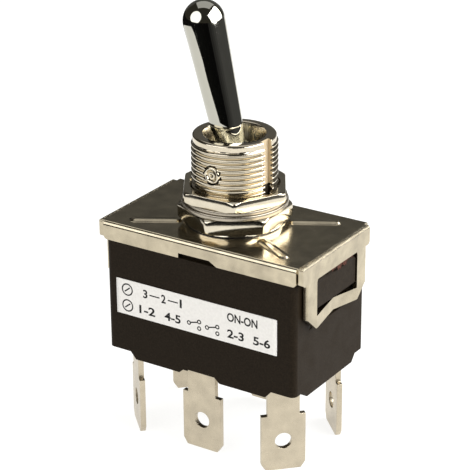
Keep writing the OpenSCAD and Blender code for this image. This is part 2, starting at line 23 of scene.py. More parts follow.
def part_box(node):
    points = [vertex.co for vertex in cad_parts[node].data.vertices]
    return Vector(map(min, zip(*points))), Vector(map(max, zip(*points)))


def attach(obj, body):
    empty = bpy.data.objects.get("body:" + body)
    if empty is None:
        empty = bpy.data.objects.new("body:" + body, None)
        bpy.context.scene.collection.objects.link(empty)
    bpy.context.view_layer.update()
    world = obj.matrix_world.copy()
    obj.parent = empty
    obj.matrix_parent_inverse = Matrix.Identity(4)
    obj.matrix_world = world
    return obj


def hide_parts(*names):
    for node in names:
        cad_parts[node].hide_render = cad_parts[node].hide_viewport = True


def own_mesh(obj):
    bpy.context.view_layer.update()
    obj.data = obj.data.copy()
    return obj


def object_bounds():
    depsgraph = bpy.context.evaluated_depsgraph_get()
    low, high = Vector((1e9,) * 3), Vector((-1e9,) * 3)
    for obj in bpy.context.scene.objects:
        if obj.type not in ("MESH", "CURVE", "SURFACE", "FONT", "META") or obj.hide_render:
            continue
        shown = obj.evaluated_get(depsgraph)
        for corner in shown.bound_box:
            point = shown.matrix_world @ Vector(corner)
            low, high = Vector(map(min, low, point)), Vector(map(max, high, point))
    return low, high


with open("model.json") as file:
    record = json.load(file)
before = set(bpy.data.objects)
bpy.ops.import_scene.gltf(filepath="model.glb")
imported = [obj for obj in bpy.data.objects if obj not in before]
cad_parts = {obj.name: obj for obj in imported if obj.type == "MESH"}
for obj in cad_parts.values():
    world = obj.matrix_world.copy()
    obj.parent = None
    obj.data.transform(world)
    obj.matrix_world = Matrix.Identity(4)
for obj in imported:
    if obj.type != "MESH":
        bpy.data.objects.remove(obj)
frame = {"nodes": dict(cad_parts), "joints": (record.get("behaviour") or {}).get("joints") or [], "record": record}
cad_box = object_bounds()
MM = 0.001
nodes = frame["nodes"]
joints = {j["name"]: j for j in frame["joints"]}
print("nodes", len(nodes), "box in mm", np.round(np.array(cad_box) / MM, 2).tolist())

# %% [markdown]
# ## The camera
#
# A catalogue picture of a small part is taken with a long lens from well away,
# so that its upright edges stay nearly parallel. The camera could be placed by
# typing in three coordinates, but an angle round the object, an angle above
# the floor and a distance say more clearly what the view is. The camera looks
# at a point beside the bushing's axis, a little under half-way up.

# %% Camera
VIEW_AZIMUTH = math.radians(33.06)
VIEW_ELEVATION = math.radians(23.08)
VIEW_ROLL = math.radians(-0.39)
VIEW_DISTANCE = 0.270
VIEW_TARGET = Vector((-0.0003, 0.0004, 0.0298))
LENS_MM, SENSOR_MM = 148.0, 36.0


def direction(azimuth, elevation):
    """Unit vector from the switch: azimuth 0 is -Y and turns towards +X, elevation is above the floor."""
    level = math.cos(elevation)
    return Vector((math.sin(azimuth) * level, -math.cos(azimuth) * level, math.sin(elevation)))


def look(toward, roll=0.0):
    """Rotation of a lamp or camera whose back points along toward."""
    return toward.to_track_quat("Z", "Y").to_matrix().to_4x4() @ Matrix.Rotation(roll, 4, "Z")


camera = bpy.data.objects.new("camera", bpy.data.cameras.new("camera"))
bpy.context.collection.objects.link(camera)
camera.data.lens = LENS_MM
camera.data.sensor_width = SENSOR_MM
camera.data.clip_start = 0.01
camera_side = direction(VIEW_AZIMUTH, VIEW_ELEVATION)
camera_place = Matrix.Translation(VIEW_TARGET + camera_side * VIEW_DISTANCE)
camera.matrix_world = camera_place @ look(camera_side, VIEW_ROLL)
bpy.context.scene.camera = camera
print("camera at mm", [round(v / MM, 1) for v in camera.matrix_world.translation])

# %% [markdown]
# ## Light for bright metal
#
# Polished metal has hardly any colour of its own: it shows the room. A studio
# lights it by placing white, grey and black things round it. Here the floor is
# bright white, and it shows in every upright face of the switch. The room above
# the floor is dark, and it shows in every level face, which a dim grey wall
# behind the switch lifts a little. A ring of cards stands between them: black
# ones on the left and in front, and grey ones on the right that get lighter
# step by step. It could be painted into the world as a gradient, but cards at
# real distances also give the sharp black band that runs down the lever. Only
# reflections see the cards, and the camera doesn't see the wall.

# %% Sheets that aren't part of the switch
CARD_ROUGHNESS = 0.9


def plain_material(name, colour, glow=0.0):
    """One colour, with an optional white glow."""
    material = bpy.data.materials.new(name)
    material.use_nodes = True
    shader = material.node_tree.nodes["Principled BSDF"]
    shader.inputs["Base Color"].default_value = (*colour, 1.0)
    shader.inputs["Roughness"].default_value = CARD_ROUGHNESS
    shader.inputs["Specular IOR Level"].default_value = 0.0
    shader.inputs["Emission Color"].default_value = (1.0, 0.995, 0.98, 1.0)
    shader.inputs["Emission Strength"].default_value = glow
    return material


def stage_sheet(name, corners, material):
    """A flat four-cornered sheet, staged so that it counts as scenery."""
    mesh = bpy.data.meshes.new(name)
    mesh.from_pydata([tuple(c) for c in corners], [], [(0, 1, 2, 3)])
    mesh.materials.append(material)
    sheet = bpy.data.objects.new(name, mesh)
    bpy.context.collection.objects.link(sheet)
    return sheet


FLOOR_HALF = 2.5
floor_z = cad_box[0][2] - 0.02 * MM
floor_finish = plain_material("floor_white", (0.22, 0.22, 0.215), glow=0.90)
floor_corners = [(x * FLOOR_HALF, y * FLOOR_HALF, floor_z) for x, y in ((-1, -1), (1, -1), (1, 1), (-1, 1))]
stage_sheet("floor", floor_corners, floor_finish)
print("floor at mm", round(floor_z / MM, 3))

# %% Cards, wall and room
SHEET_FOOT = Vector((0, 0, floor_z + 0.5 * MM))
CARD_HEAD = Vector((0, 0, 0.064))
WALL_HEAD = Vector((0, 0, 0.42))
WALL_DISTANCE, WALL_START, WALL_STOP = 0.6, 172, 250
CARD_SPAN = 16


def upright(azimuth, distance, lift):
    """The point at an azimuth in degrees, a distance from the axis and a height."""
    return direction(math.radians(azimuth), 0) * distance + lift


def standing_sheet(name, distance, start, stop, head, material):
    """An upright sheet whose foot is a chord from one azimuth to another."""
    corners = [upright(start, distance, SHEET_FOOT), upright(stop, distance, SHEET_FOOT),
               upright(stop, distance, head), upright(start, distance, head)]
    return stage_sheet(name, corners, material)


def card_fence(name, distance, start, stop, count, material):
    """Upright cards side by side on an arc round the switch, which only reflections see."""
    angles = np.linspace(start, stop, count + 1)
    for i, (a, b) in enumerate(zip(angles[:-1], angles[1:])):
        card = standing_sheet(f"{name}_{i}", distance, a, b, CARD_HEAD, material)
        card.visible_camera = False
        card.visible_diffuse = False
        card.visible_shadow = False
        card.visible_transmission = False


card_black = plain_material("card_black", (0.004, 0.004, 0.004))
card_fence("card_left", 0.162, start=-150, stop=-20, count=9, material=card_black)
card_fence("card_front", 0.150, start=-20, stop=52, count=5, material=card_black)
START_STOP_GLOW = ((52, 64, 0.012), (64, 76, 0.030), (76, 88, 0.050), (88, 176, 0.072))
for i, (start, stop, glow) in enumerate(START_STOP_GLOW):
    grey = plain_material(f"card_grey_{i}", (0.02, 0.02, 0.02), glow=glow)
    card_fence(f"card_right_{i}", 0.150, start, stop, 1 + (stop - start) // CARD_SPAN, grey)

wall_grey = plain_material("wall_grey", (0.02, 0.019, 0.015), glow=0.085)
wall = standing_sheet("wall_behind", WALL_DISTANCE, WALL_START, WALL_STOP, WALL_HEAD, wall_grey)
wall.visible_camera = False

world = bpy.data.worlds.new("dark_room")
world.use_nodes = True
world.node_tree.nodes["Background"].inputs["Color"].default_value = (0.042, 0.039, 0.031, 1.0)
world.node_tree.nodes["Background"].inputs["Strength"].default_value = 1.0
bpy.context.scene.world = world
bpy.context.scene.view_settings.view_transform = "Standard"

# %% [markdown]
# ## Lamps
#
# Three flat lamps stand round the switch. A round one in front on the left and
# a large oblong one on the right draw the two white shapes on the lever's tip,
# and the one above and behind only brightens the sheet. Point lamps would leave
# hard sparks on every edge. Area lamps have a size, so the metal shows them as
# soft shapes.


# %% Lamps
def soft_box(name, azimuth, elevation, distance, width, height, watts, shape="RECTANGLE"):
    """A flat lamp at an angle in degrees round the switch and above the floor, facing it."""
    data = bpy.data.lights.new(name, "AREA")
    data.shape = shape
    data.size = width
    data.size_y = height
    data.energy = watts
    lamp = bpy.data.objects.new(name, data)
    bpy.context.collection.objects.link(lamp)
    side = direction(math.radians(azimuth), math.radians(elevation))
    lamp.matrix_world = Matrix.Translation(VIEW_TARGET + side * distance) @ look(side)
    return lamp


soft_box("disc_front", azimuth=-19, elevation=29, distance=0.40, width=0.46, height=0.46,
         watts=1.2, shape="DISK")
soft_box("box_right", azimuth=113, elevation=31, distance=0.40, width=0.66, height=0.40, watts=5.2)
soft_box("box_behind", azimuth=208, elevation=67, distance=0.50, width=0.48, height=0.48, watts=0.44)

# %% [markdown]
# ## Finishes
#
# Every finish here is one shader whose bump, gloss and tint vary with noise.
# Image textures would need unwrapped pieces. Noise read from the object's own
# coordinates needs none, and its grain keeps its true size in millimetres on
# every piece. The helpers below build such a finish step by step: a noise
# field, a way to spread it between two colours or two gloss values, and a bump
# from its height.


# %% Helpers for finishes
def finish(name, metallic=0.0, roughness=0.5, specular=0.5):
    """A new material with its shader and a point in the object's own coordinates."""
    material = bpy.data.materials.new(name)
    material.use_nodes = True
    tree = material.node_tree
    shader = tree.nodes["Principled BSDF"]
    shader.inputs["Metallic"].default_value = metallic
    shader.inputs["Roughness"].default_value = roughness
    shader.inputs["Specular IOR Level"].default_value = specular
    point = tree.nodes.new("ShaderNodeTexCoord").outputs["Object"]
    return material, tree, shader, point


def noise(tree, point, grain_mm, detail=3.0, stretch=(1, 1, 1)):
    """Noise whose blobs are grain_mm across, drawn out along an axis where stretch is over 1."""
    mapping = tree.nodes.new("ShaderNodeMapping")
    mapping.inputs["Scale"].default_value = [1.0 / s for s in stretch]
    field = tree.nodes.new("ShaderNodeTexNoise")
    field.inputs["Scale"].default_value = 1.0 / (grain_mm * MM)
    field.inputs["Detail"].default_value = detail
    tree.links.new(point, mapping.inputs["Vector"])
    tree.links.new(mapping.outputs["Vector"], field.inputs["Vector"])
    return field.outputs["Fac"]


def spread(tree, value, low, high, start=0.3, stop=0.7):
    """value between start and stop is carried to low .. high, which are two colours or two numbers."""
    if isinstance(low, tuple):
        ramp = tree.nodes.new("ShaderNodeValToRGB")
        ramp.color_ramp.elements[0].position = start
        ramp.color_ramp.elements[1].position = stop
        ramp.color_ramp.elements[0].color = (*low, 1.0)
        ramp.color_ramp.elements[1].color = (*high, 1.0)
        tree.links.new(value, ramp.inputs["Fac"])
        return ramp.outputs["Color"]
    band = tree.nodes.new("ShaderNodeMapRange")
    band.inputs["From Min"].default_value = start
    band.inputs["From Max"].default_value = stop
    band.inputs["To Min"].default_value = low
    band.inputs["To Max"].default_value = high
    tree.links.new(value, band.inputs["Value"])
    return band.outputs["Result"]


def bump(tree, shader, height, depth_mm):
    """Height 0..1 becomes relief of depth_mm on the shader, over any bump that is there already."""
    node = tree.nodes.new("ShaderNodeBump")
    node.inputs["Strength"].default_value = 1.0
    node.inputs["Distance"].default_value = depth_mm * MM
    tree.links.new(height, node.inputs["Height"])
    if shader.inputs["Normal"].is_linked:
        tree.links.new(shader.inputs["Normal"].links[0].from_socket, node.inputs["Normal"])
    tree.links.new(node.outputs["Normal"], shader.inputs["Normal"])


# %% [markdown]
# ## Nickel, chrome and the other metals
#
# Nickel plate is a warm grey mirror over whatever the base metal's surface
# was. On pressed steel that is a fine rolled grain with a slight waviness, on
# turned brass a finer one. The drilled bore and the chromed lever carry faint
# streaks along their length, and chrome is cooler and smoother. All of them
# could be one material with other numbers, so one function makes them, and its
# arguments are what a plater would name: tint, gloss, grain, waviness, stain.


# %% Metals
CLOUD_MM, WAVE_MM = 2.2, 6.0
GLOSSIEST, DULLEST = 0.75, 1.35


def plated(name, tint, gloss, grain_mm, grain_depth_mm, wave_depth_mm=0.0, stretch=(1, 1, 1),
           stain=0.12, metallic=1.0):
    """Plated metal: grain in its gloss and relief, long waves in its relief, clouds in its tint."""
    material, tree, shader, point = finish(name, metallic=metallic)
    clouds = noise(tree, point, CLOUD_MM, 5.0)
    darker = tuple(c * (1.0 - stain) for c in tint)
    tree.links.new(spread(tree, clouds, darker, tint), shader.inputs["Base Color"])
    grain = noise(tree, point, grain_mm, 4.0, stretch)
    tree.links.new(spread(tree, grain, gloss * GLOSSIEST, gloss * DULLEST), shader.inputs["Roughness"])
    if wave_depth_mm:
        bump(tree, shader, noise(tree, point, WAVE_MM, 1.0), wave_depth_mm)
    bump(tree, shader, grain, grain_depth_mm)
    return material


before_metals = len(bpy.data.materials)
nickel_sheet = plated("nickel_sheet", (0.585, 0.515, 0.38), 0.17, 0.10, 0.0012, 0.030, stain=0.30)
nickel_turned = plated("nickel_turned", (0.70, 0.63, 0.50), 0.11, 0.12, 0.0008)
nickel_milled = plated("nickel_milled", (0.62, 0.51, 0.34), 0.42, 0.10, 0.003, metallic=0.45)
nickel_bored = plated("nickel_bored", (0.90, 0.83, 0.68), 0.22, 0.55, 0.040, stretch=(1, 1, 25), stain=0.35)
nickel_nut = plated("nickel_nut", (0.71, 0.645, 0.515), 0.12, 0.15, 0.0008, wave_depth_mm=0.005)
# Painted shade: a dark nickel that stands for the shadow in the pin's recesses and at the keyway's foot.
dark_oxide = plated("dark_oxide", (0.085, 0.07, 0.05), 0.50, 0.10, 0.003)
washer_steel = plated("washer_steel", (0.48, 0.43, 0.35), 0.28, 0.08, 0.003)
chrome = plated("chrome", (0.50, 0.49, 0.43), 0.035, 0.22, 0.0014, 0.0015, stretch=(1, 1, 14), stain=0.05)
tab_nickel = plated("tab_nickel", (0.575, 0.505, 0.385), 0.30, 0.09, 0.0025, wave_depth_mm=0.010, stain=0.18)
bare_copper = plated("bare_copper", (0.72, 0.42, 0.27), 0.30, 0.10, 0.002)
bare_silver = plated("bare_silver", (0.82, 0.81, 0.78), 0.32, 0.12, 0.002)
spring_steel = plated("spring_steel", (0.50, 0.50, 0.52), 0.25, 0.06, 0.001)
print("metals", len(bpy.data.materials) - before_metals)

# %% [markdown]
# ## Worn folds
#
# Where the press turns the sheet down at both ends, the plate is stretched and
# scuffed, and the fold looks speckled. A second material on the fold's faces
# would stop at a hard line. So the sheet's own material gets one more bump: a
# fine noise times two masks, which are 1 at the fold and fade out inwards and
# downwards.

# %% Worn folds
SPECKLE_MM, SPECKLE_DEPTH_MM = 0.20, 0.045
FOLD_FADE, FOLD_FULL = 0.9 * MM, 0.5 * MM
BELOW_FADE, BELOW_FULL = 0.45 * MM, 0.15 * MM


def worn_fold(material, end_x, top_z):
    """Adds relief: noise from -1 to 1, times a ramp along the distance from x = 0, times a ramp along z."""
    tree = material.node_tree
    shader = tree.nodes["Principled BSDF"]
    point = next(n for n in tree.nodes if n.type == "TEX_COORD").outputs["Object"]
    axes = tree.nodes.new("ShaderNodeSeparateXYZ")
    tree.links.new(point, axes.inputs["Vector"])
    to_end = tree.nodes.new("ShaderNodeMath")
    to_end.operation = "ABSOLUTE"
    tree.links.new(axes.outputs["X"], to_end.inputs[0])
    near_end = spread(tree, to_end.outputs["Value"], 0.0, 1.0, end_x - FOLD_FADE, end_x - FOLD_FULL)
    near_top = spread(tree, axes.outputs["Z"], 0.0, 1.0, top_z - BELOW_FADE, top_z - BELOW_FULL)
    height = spread(tree, noise(tree, point, SPECKLE_MM), -1.0, 1.0)
    for mask in (near_end, near_top):
        product = tree.nodes.new("ShaderNodeMath")
        product.operation = "MULTIPLY"
        tree.links.new(height, product.inputs[0])
        tree.links.new(mask, product.inputs[1])
        height = product.outputs["Value"]
    bump(tree, shader, height, SPECKLE_DEPTH_MM)


# %% [markdown]
# ## Moulded, fibre and paper finishes
#
# The housing is a hot-pressed phenolic. It comes out of a polished mould with
# a slight gloss, and its filler shows as a faint mottle, which a flat black
# would lack. The insulating sheet is vulcanised fibre, red-brown and matt.
# The label is white film with a satin face, and the lever's inner block is
# milky nylon.

# %% Moulded, fibre and paper
SHEEN_MM, SKIN_MM, SKIN_DEPTH = 2.5, 5.0, 2.5


def moulded(name, dark, light, roughness, specular, mottle_mm=0.25, depth_mm=0.004):
    """Moulded plastic: a mottle of two near colours, uneven gloss and a shallow skin texture."""
    material, tree, shader, point = finish(name, roughness=roughness, specular=specular)
    mottle = noise(tree, point, mottle_mm, 5.0)
    tree.links.new(spread(tree, mottle, dark, light, 0.35, 0.75), shader.inputs["Base Color"])
    sheen = spread(tree, noise(tree, point, SHEEN_MM), roughness * 0.85, roughness * 1.2)
    tree.links.new(sheen, shader.inputs["Roughness"])
    bump(tree, shader, noise(tree, point, SKIN_MM, 2.0), depth_mm * SKIN_DEPTH)
    bump(tree, shader, mottle, depth_mm)
    return material


before_moulded = len(bpy.data.materials)
phenolic = moulded("phenolic", (0.0112, 0.0078, 0.0046), (0.0200, 0.0140, 0.0085), 0.42, 0.05)
nylon = moulded("nylon", (0.70, 0.69, 0.62), (0.78, 0.77, 0.70), 0.45, 0.4)
fibre = moulded("fibre", (0.022, 0.012, 0.009), (0.105, 0.036, 0.024), 0.85, 0.15, 0.22, 0.03)
label_film = moulded("label_film", (0.72, 0.70, 0.665), (0.79, 0.77, 0.735), 0.42, 0.25, 0.4, 0.002)
label_ink = moulded("label_ink", (0.010, 0.010, 0.010), (0.020, 0.019, 0.018), 0.6, 0.15, 0.1, 0.001)
print("moulded, fibre and paper finishes", len(bpy.data.materials) - before_moulded)

# %% [markdown]
# ## Two ways to make a piece
#
# A turned or threaded piece is a surface over a grid: one parameter goes round
# the axis and the other along the section, and numpy works out every point at
# once. A stamped or moulded piece is right already but has knife edges, which
# no press or mould leaves. A copy of it is merged, its flat faces are joined
# up again, and a Bevel rounds every edge. These two helpers serve the whole
# script.


# %% From a grid of points to a piece
SAME_POINT, NO_LENGTH = 1e-7, 1e-8


def weld(mesh, smooth_angle=30):
    """Joins doubled points, turns all faces outwards, and keeps edges over smooth_angle degrees sharp."""
    work = bmesh.new()
    work.from_mesh(mesh)
    bmesh.ops.remove_doubles(work, verts=work.verts, dist=SAME_POINT)
    bmesh.ops.dissolve_degenerate(work, edges=work.edges, dist=NO_LENGTH)
    bmesh.ops.recalc_face_normals(work, faces=work.faces)
    open_edges = sum(not e.is_manifold for e in work.edges)
    work.to_mesh(mesh)
    work.free()
    mesh.shade_smooth()
    mesh.set_sharp_from_angle(angle=math.radians(smooth_angle))
    return open_edges


def surface(name, grid, wrap_round=True, wrap_along=False):
    """An object with one face between every four neighbours of grid[along, round]."""
    count = grid.shape[0] * grid.shape[1]
    index = np.arange(count).reshape(grid.shape[:2])
    if wrap_along:
        index = np.vstack([index, index[:1]])
    if wrap_round:
        index = np.hstack([index, index[:, :1]])
    corners = [index[:-1, :-1], index[:-1, 1:], index[1:, 1:], index[1:, :-1]]
    quads = np.stack(corners, axis=-1).reshape(-1, 4)
    mesh = bpy.data.meshes.new(name)
    mesh.vertices.add(count)
    mesh.vertices.foreach_set("co", grid.reshape(-1))
    mesh.loops.add(quads.size)
    mesh.loops.foreach_set("vertex_index", quads.reshape(-1))
    mesh.polygons.add(len(quads))
    mesh.polygons.foreach_set("loop_start", np.arange(0, quads.size, 4))
    mesh.update(calc_edges=True)
    piece = bpy.data.objects.new(name, mesh)
    bpy.context.collection.objects.link(piece)
    return piece


def deliver(piece, material, body, replaced=(), smooth_angle=30):
    """Welds a piece, paints it, and puts it on its body in place of the CAD nodes it stands for."""
    open_edges = weld(piece.data, smooth_angle)
    piece.data.materials.clear()
    piece.data.materials.append(material)
    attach(piece, body)
    if replaced:
        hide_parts(*replaced)
    print(f"{piece.name}: {len(piece.data.polygons)} faces, open edges {open_edges}")
    return piece


# %% From a CAD node to a piece with soft edges
SAME_CAD_POINT = 2e-7
LEVEL_ANGLE, EDGE_ANGLE = math.radians(0.6), math.radians(28)
FACE_WEIGHT = 60
body_of = {n: b for b, members in frame["record"]["behaviour"]["bodies"].items() for n in members}


def softened(node, material, radius_mm, segments=2):
    """A merged copy of a CAD node with its flat faces whole again and every edge rounded off."""
    mesh = nodes[node].data.copy()
    piece = bpy.data.objects.new(node + "_soft", mesh)
    bpy.context.collection.objects.link(piece)
    work = bmesh.new()
    work.from_mesh(mesh)
    bmesh.ops.remove_doubles(work, verts=work.verts, dist=SAME_CAD_POINT)
    bmesh.ops.dissolve_limit(work, angle_limit=LEVEL_ANGLE, verts=work.verts, edges=work.edges)
    work.to_mesh(mesh)
    work.free()
    mesh.shade_smooth()
    mesh.materials.clear()
    mesh.materials.append(material)
    rounding = piece.modifiers.new("rounding", "BEVEL")
    rounding.width = radius_mm * MM
    rounding.segments = segments
    rounding.limit_method = "ANGLE"
    rounding.angle_limit = EDGE_ANGLE
    rounding.use_clamp_overlap = True
    even = piece.modifiers.new("even_shading", "WEIGHTED_NORMAL")
    even.weight = FACE_WEIGHT
    even.keep_sharp = False
    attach(piece, body_of[node])
    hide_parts(node)
    return piece


def ring(angles, radius, height):
    """Points at that radius and height for every angle round the Z axis."""
    x, y = radius * np.cos(angles), radius * np.sin(angles)
    return np.stack([x, y, height + 0 * x], axis=-1)


# %% [markdown]
# ## The threaded bushing
#
# The bushing is turned from bar, threaded, slotted down one side by the keyway
# and drilled across for the lever's pin. A plain cylinder with a bump map would
# keep a straight outline, and the thread's saw-tooth edge is what makes it look
# like metal. So the thread is real: the radius falls and rises once per pitch,
# and the pattern climbs one pitch per turn. The section is a closed loop from
# the bore over the top, down the thread, round the collar and back.

# %% Thread profile
PITCH = 0.75 * MM
THREAD_DEPTH = 0.42 * MM


def thread_radius(phase, major):
    """Major radius less the depth times a flat-topped wave that repeats for every whole step of phase."""
    ridge = np.abs(2.0 * (phase % 1.0) - 1.0)
    groove = np.clip((0.80 - ridge) / 0.62, 0.0, 1.0)
    groove = groove * groove * (3.0 - 2.0 * groove)
    return major - THREAD_DEPTH * groove


# %% Bushing section
pivot = np.array(joints["lever_hinge"]["pos_m"])
panel_z = pivot[2] - 8.7 * MM
bush_side, _, bush_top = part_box("bushing")[1]
MAJOR = frame["record"]["mounts"][0]["dims"]["r_mm"] * MM
COLLAR_TOP = panel_z + 0.75 * MM
COLLAR_MM, FOOT_MM = bush_side / MM, 5.23
BORE = 4.05 * MM

# Radius and height of each point in millimetres, first from the bushing's top,
# then from the frame's top face.
over_top = np.array(
    [(BORE / MM, z) for z in np.linspace(-14.8, -1.9, 22)]
    + [(4.07, -1.5), (4.13, -1.0), (4.22, -0.55), (4.31, -0.2), (4.37, -0.05), (4.45, 0.0), (5.0, 0.0)]
    + [(5.38, 0.0), (5.52, -0.03), (5.64, -0.09), (5.74, -0.18), (5.78, -0.25)]
) * MM + (0, bush_top)
under = np.array(
    [(5.2, 0.75), (7.0, 0.75), (COLLAR_MM - 0.08, 0.72), (COLLAR_MM, 0.6), (COLLAR_MM, 0.01)]
    + [(FOOT_MM, 0.01), (FOOT_MM, -0.81), (6.2, -0.81), (6.2, -1.3), (5.9, -1.6)]
) * MM + (0, panel_z)
print("thread pitch in mm", round(PITCH / MM, 3), "turns", round((bush_top - COLLAR_TOP) / PITCH, 1))

# %% Angles round the bushing
KEY_ANGLE = math.radians(-6)
KEY_HALF = 0.825 * MM
KEY_FLOOR = MAJOR - 0.8 * MM
WALL_COLUMNS, KEY_COLUMNS = 165, 7
key_edge = math.asin(KEY_HALF / MAJOR)
around = np.concatenate([
    np.linspace(-math.pi, -key_edge, WALL_COLUMNS),
    np.linspace(-key_edge, key_edge, KEY_COLUMNS),
    np.linspace(key_edge, math.pi, WALL_COLUMNS),
])
key_columns = slice(WALL_COLUMNS, WALL_COLUMNS + KEY_COLUMNS)
in_slot = np.zeros(len(around), bool)
in_slot[key_columns] = True
slot_y = np.zeros(len(around))
slot_y[key_columns] = np.linspace(-KEY_HALF, KEY_HALF, KEY_COLUMNS)
at_lip = np.zeros(len(around), bool)
at_lip[[WALL_COLUMNS - 1, WALL_COLUMNS + KEY_COLUMNS]] = True
print("columns round the bushing", len(around))

# %% Thread and shoulder
ROWS_PER_PITCH = 12
SHOULDER, SHOULDER_END = 5.78 * MM, 0.25 * MM
LEAD_START, LEAD_LENGTH = 0.95 * MM, 0.14 * MM
RISE_START, RISE_LENGTH = 0.8 * MM, 0.5 * MM
RUN_OUT = 0.5 * MM


def thread_rows():
    """Radius and height of rows that climb one pitch a turn, held between the collar and the shoulder."""
    turns = int((bush_top - COLLAR_TOP) / PITCH) + 2
    step = np.arange(turns * ROWS_PER_PITCH, -ROWS_PER_PITCH - 1, -1)[:, None] / ROWS_PER_PITCH
    share = around[None, :] / (2 * math.pi)
    height = np.clip(COLLAR_TOP + PITCH * (step + share), COLLAR_TOP, bush_top - SHOULDER_END)
    radius = thread_radius(step + 0 * share, MAJOR)
    fade = np.clip((height - COLLAR_TOP) / RUN_OUT, 0, 1)
    radius = fade * radius + (1 - fade) * (MAJOR - THREAD_DEPTH)
    lead = np.clip((bush_top - height - LEAD_START) / LEAD_LENGTH, 0, 1)
    shoulder = SHOULDER + (MAJOR - SHOULDER) * lead
    rise = np.clip((bush_top - height - RISE_START) / RISE_LENGTH, 0, 1)
    return np.minimum(shoulder, MAJOR - (MAJOR - radius) * rise), height


def closed_section(thread_r, thread_z):
    """The rows over the top, down the thread and under the collar, at every angle round the bushing."""
    level = 0 * around[None, :]
    radius = np.vstack([over_top[:, :1] + level, thread_r, under[:, :1] + level])
    height = np.vstack([over_top[:, 1:] + level, thread_z, under[:, 1:] + level])
    return radius, height


thread_r, thread_z = thread_rows()
radius, height = closed_section(thread_r, thread_z)
on_wall = np.zeros(len(radius), bool)
on_wall[len(over_top):len(over_top) + len(thread_r)] = True
print("rows of the thread", int(on_wall.sum()), "of", len(radius))

# %% [markdown]
# ## Keyway and recesses
#
# The keyway keeps the switch from turning in its panel, and on each side a
# shallow recess takes the pin's staked head. Both could be cut with Booleans,
# but on a thread those leave slivers that catch the light. Here the points that
# are there already move instead: within the keyway they go back to its flat
# floor, and near a recess they snap onto its circle.


# %% Keyway and recesses
def keyed(radius, height):
    """Points of the section with those in the keyway at x = floor and its two lips at y = half its width."""
    angle = around[None, :] + 0 * radius
    x, y = radius * np.cos(angle), radius * np.sin(angle)
    cut = (height > COLLAR_TOP + 1e-6) & (radius > KEY_FLOOR)
    lip = cut & at_lip[None, :]
    y = np.where(lip, np.sign(angle) * KEY_HALF, y)
    x = np.where(lip, np.sqrt(np.maximum(radius**2 - KEY_HALF**2, 0)), x)
    sunk = cut & in_slot[None, :]
    x = np.where(sunk, KEY_FLOOR, x)
    y = np.where(sunk, slot_y[None, :], y)
    cos_k, sin_k = math.cos(KEY_ANGLE), math.sin(KEY_ANGLE)
    return np.stack([x * cos_k - y * sin_k, x * sin_k + y * cos_k, height], axis=-1)


def sink_recess(grid, centre_z, radius, depth_y, cell):
    """On the +Y and -Y sides points near a circle snap onto it, and those within it go back to depth_y."""
    x, y, z = grid[..., 0], grid[..., 1], grid[..., 2] - centre_z
    reach = np.hypot(x, z)
    near = on_wall[:, None] & (np.abs(y) > 0.5 * MAJOR)
    snap = near & (np.abs(reach - radius) < cell)
    scale = np.where(snap, radius / np.maximum(reach, 1e-9), 1.0)
    within = near & (reach <= radius - cell)
    return np.stack([x * scale, np.where(within, np.sign(y) * depth_y, y), z * scale + centre_z], axis=-1)


RECESS, RECESS_FLOOR = 1.36 * MM, MAJOR - 1.0 * MM
bushing_points = sink_recess(keyed(radius, height), pivot[2], RECESS, RECESS_FLOOR, 0.055 * MM)
bushing_piece = surface("threaded_bushing", bushing_points, wrap_round=False, wrap_along=True)
deliver(bushing_piece, nickel_turned, "case", ["bushing"], 35)

# %% [markdown]
# ## Milled, bored and shaded faces
#
# One piece has three more surfaces: the keyway is milled, the bore is streaked
# by its drill, and the recesses and the keyway's foot carry painted shade, a
# dark nickel that stands for the shadow falling in them. Separate meshes would
# need seams between them. A mesh can carry several materials, so each face only
# gets the number of the one it shows, from where its centre is.

# %% Finish of the keyway and the bore
bushing_mesh = bushing_piece.data
for extra in (nickel_milled, nickel_bored, dark_oxide):
    bushing_mesh.materials.append(extra)
TURNED, MILLED, BORED, PAINTED_SHADE = 0, 1, 2, 3
centres = np.empty(len(bushing_mesh.polygons) * 3)
bushing_mesh.polygons.foreach_get("center", centres)
x, y, z = centres.reshape(-1, 3).T
off_key = np.abs(y * math.cos(KEY_ANGLE) - x * math.sin(KEY_ANGLE))
reach = np.hypot(x, y)
above_collar = (z > COLLAR_TOP) & (x > 0)
in_key = above_collar & (off_key < KEY_HALF + 0.01 * MM) & (reach > KEY_FLOOR - 0.05 * MM)
in_bore = (reach < BORE + 0.25 * MM) & (z > panel_z)
in_circle = np.hypot(x, z - pivot[2]) < RECESS - 0.01 * MM
# The recesses and the keyway's foot just above the front nut get the painted shade, dark where shadow falls.
in_recess = in_circle & (np.abs(y) > 4.6 * MM) & ~in_bore
at_nut = in_key & (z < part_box("front_nut")[1][2] + 0.9 * MM)
choice = np.select([in_recess | at_nut, in_key, in_bore], [PAINTED_SHADE, MILLED, BORED], TURNED)
bushing_mesh.polygons.foreach_set("material_index", choice.astype(np.int32))
for part, faces in (("keyway", in_key), ("bore", in_bore), ("recess", in_recess)):
    print(part, "faces", int(faces.sum()))

# %% [markdown]
# ## The lever's cross pin
#
# The pin holds the lever's ball in the bushing, and its ends are staked: a ring
# punch spreads the metal, and a centre punch marks it. A cylinder with a bump
# would show no shadow in those marks, so they are in the section. It is turned
# about the pin's own axis, which lies along Y, from the mark in one end to the
# mark in the other.


# %% Cross pin
def turned(profile, count):
    """Section points (radius, distance along the axis) carried round the Z axis."""
    angles = np.linspace(0, 2 * math.pi, count, endpoint=False)
    return ring(angles[None, :], profile[:, :1], profile[:, 1:2])


